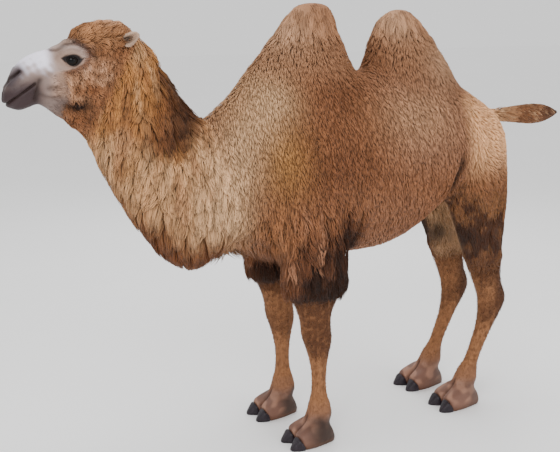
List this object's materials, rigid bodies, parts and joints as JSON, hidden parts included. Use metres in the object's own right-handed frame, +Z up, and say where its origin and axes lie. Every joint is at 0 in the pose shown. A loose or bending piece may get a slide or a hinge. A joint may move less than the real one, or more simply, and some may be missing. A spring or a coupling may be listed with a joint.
{
  "type": "camel",
  "caption": "Life-size Bactrian camel standing square on flat-soled feet, with humps, shaggy coat, small ears and tail held straight back.",
  "frame": {"origin": "middle of the bounding box, on the floor under the soles", "axes": "+Z up, -X toward the nose and +X toward the tail, +Y toward the animal's right side"},
  "size_m": [3.0546, 0.676, 2.1418],
  "materials": {
    "coat_tan": "tan wool in tufts, curly on the crown and long on the throat",
    "coat_brown": "russet brown wool, short on the flanks and shaggy on the humps and tail",
    "coat_dark": "dark umber shaggy wool on the upper legs, short brown hair below",
    "muzzle_skin": "pale grey lilac skin with very short hair",
    "foot_skin": "pinkish brown leathery pads",
    "nail": "dark horn, half gloss",
    "eye": "dark brown, wet gloss"
  },
  "bodies": {
    "root": {"ear_left": "coat_tan", "ear_right": "coat_tan", "eye_left": "eye", "eye_right": "eye", "fore_left_foot": "foot_skin", "fore_left_nail_inner": "nail", "fore_left_nail_outer": "nail", "fore_left_shank": "coat_dark", "fore_left_upper": "coat_dark", "fore_right_foot": "foot_skin", "fore_right_nail_inner": "nail", "fore_right_nail_outer": "nail", "fore_right_shank": "coat_dark", "fore_right_upper": "coat_dark", "head": "coat_tan", "hind_left_foot": "foot_skin", "hind_left_nail_inner": "nail", "hind_left_nail_outer": "nail", "hind_left_shank": "coat_dark", "hind_left_upper": "coat_dark", "hind_right_foot": "foot_skin", "hind_right_nail_inner": "nail", "hind_right_nail_outer": "nail", "hind_right_shank": "coat_dark", "hind_right_upper": "coat_dark", "hump_front": "coat_brown", "hump_rear": "coat_brown", "lower_jaw": "muzzle_skin", "neck": "coat_tan", "tail_dock": "coat_brown", "tail_tuft": "coat_brown", "trunk": "coat_brown"}
  },
  "joints": []
}
